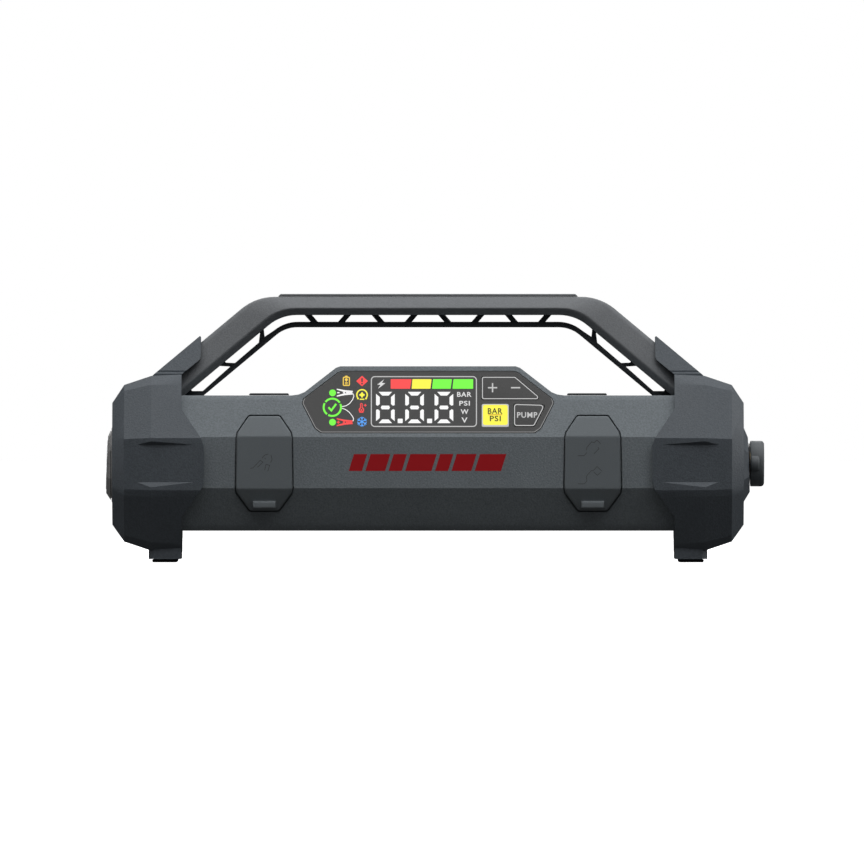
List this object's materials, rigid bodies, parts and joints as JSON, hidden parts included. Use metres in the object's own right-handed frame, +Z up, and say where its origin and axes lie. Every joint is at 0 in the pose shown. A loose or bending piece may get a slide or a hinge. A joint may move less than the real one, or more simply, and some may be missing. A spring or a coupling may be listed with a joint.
{
  "type": "jump starter pack",
  "caption": "Portable jump starter with built-in air pump: faceted case between end caps, carry handle, leaning display panel, two rubber port covers, end lamp and screw-capped air outlet.",
  "frame": {"origin": "middle of the overall box in X and Y, at the underside of the foot pads", "axes": "+X to the right seen from the front, where the screw-capped outlet is; -Y is the front with the display; +Z is up"},
  "size_m": [0.329, 0.096, 0.134],
  "materials": {
    "shell_plastic": "fine moulded grain, satin",
    "cap_plastic": "fine moulded grain, matt",
    "handle_plastic": "fine moulded grain, matt",
    "truss_plastic": "matt",
    "grip_rubber": "matt",
    "foot_rubber": "matt",
    "vent_plastic": "matt",
    "cover_rubber": "smooth matt",
    "panel_film": "printed film, satin",
    "display_glass": "smoked, polished",
    "key_plastic": "satin",
    "key_yellow": "satin, lit from behind",
    "circuit_board": "solder mask",
    "display_plastic": "matt",
    "socket_plastic": "matt",
    "contact_brass": "plain",
    "socket_steel": "drawn",
    "lamp_plastic": "gloss",
    "lamp_clear": "polished",
    "reflector_chrome": "bright",
    "lamp_board_white": "solder mask",
    "knob_plastic": "satin",
    "seal_rubber": "matt",
    "battery_foil": "satin foil",
    "tray_plastic": "matt",
    "motor_steel": "plated",
    "gear_brass": "cut",
    "gear_nylon": "natural",
    "pump_alloy": "die cast",
    "hose_rubber": "matt",
    "screw_steel": "black zinc"
  },
  "bodies": {
    "case": {"front_shell": "shell_plastic", "rear_shell": "shell_plastic", "left_cap": "cap_plastic", "right_cap": "cap_plastic", "handle": "handle_plastic", "handle_truss": "truss_plastic", "grip_pad": "grip_rubber", "foot_pad_front_left": "foot_rubber", "foot_pad_front_right": "foot_rubber", "foot_pad_rear_left": "foot_rubber", "foot_pad_rear_right": "foot_rubber", "top_vent_left": "vent_plastic", "top_vent_right": "vent_plastic", "jump_socket": "socket_plastic", "jump_contact_left": "contact_brass", "jump_contact_right": "contact_brass", "usb_socket": "socket_steel", "charge_socket": "socket_plastic", "port_board": "circuit_board", "display_panel": "panel_film", "display_window": "display_glass", "display_module": "display_plastic", "display_board": "circuit_board", "lamp_bezel": "lamp_plastic", "lamp_lens": "lamp_clear", "lamp_reflector": "reflector_chrome", "lamp_board": "lamp_board_white", "outlet_seal": "seal_rubber", "outlet_fitting": "contact_brass", "battery_tray": "tray_plastic", "battery_cell_1": "battery_foil", "battery_cell_2": "battery_foil", "battery_cell_3": "battery_foil", "main_board": "circuit_board", "pump_motor": "motor_steel", "compressor_block": "pump_alloy", "compressor_head": "pump_alloy", "outlet_hose": "hose_rubber", "case_screw_1": "screw_steel", "case_screw_2": "screw_steel", "case_screw_3": "screw_steel", "case_screw_4": "screw_steel", "case_screw_5": "screw_steel", "case_screw_6": "screw_steel"},
    "jump_cover": {"jump_port_cover": "cover_rubber"},
    "power_cover": {"power_port_cover": "cover_rubber"},
    "plus_minus_rocker": {"plus_minus_key": "key_plastic"},
    "bar_psi_button": {"bar_psi_key": "key_yellow"},
    "pump_button": {"pump_key": "key_plastic"},
    "screw_cap": {"outlet_cap": "knob_plastic"},
    "pinion": {"motor_pinion": "gear_brass"},
    "crank": {"crank_gear": "gear_nylon"}
  },
  "joints": [
    {"name": "jump_cover_hinge", "type": "hinge", "parent": "case", "child": "jump_cover", "pos_m": [-0.0851, -0.03678, 0.073], "axis": [-1, 0, 0], "range_deg": [0, 110]},
    {"name": "power_cover_hinge", "type": "hinge", "parent": "case", "child": "power_cover", "pos_m": [0.0786, -0.03678, 0.073], "axis": [-1, 0, 0], "range_deg": [0, 110]},
    {"name": "plus_minus_rock", "type": "hinge", "parent": "case", "child": "plus_minus_rocker", "pos_m": [0.037, -0.02543, 0.08539], "axis": [0, 0.4695, 0.8829], "range_deg": [-2.5, 2.5], "stiffness_Nm_per_rad": 0.5},
    {"name": "bar_psi_press", "type": "slide", "parent": "case", "child": "bar_psi_button", "axis": [0, 0.8829, -0.4695], "range_m": [0, 0.0006], "stiffness_N_per_m": 2000},
    {"name": "pump_press", "type": "slide", "parent": "case", "child": "pump_button", "axis": [0, 0.8829, -0.4695], "range_m": [0, 0.0006], "stiffness_N_per_m": 2000},
    {"name": "outlet_cap_turn", "type": "hinge", "parent": "case", "child": "screw_cap", "pos_m": [0.1575, 0, 0.0492], "axis": [1, 0, 0], "continuous": true},
    {"name": "crank_spin", "type": "hinge", "parent": "case", "child": "crank", "pos_m": [0.1085, -0.001, 0.038], "axis": [1, 0, 0], "continuous": true},
    {"name": "pinion_spin", "type": "hinge", "parent": "case", "child": "pinion", "pos_m": [0.1085, 0.018, 0.038], "axis": [1, 0, 0], "continuous": true}
  ],
  "couplings": [
    {"joint": "pinion_spin", "follows": "crank_spin", "ratio": -2.8}
  ]
}
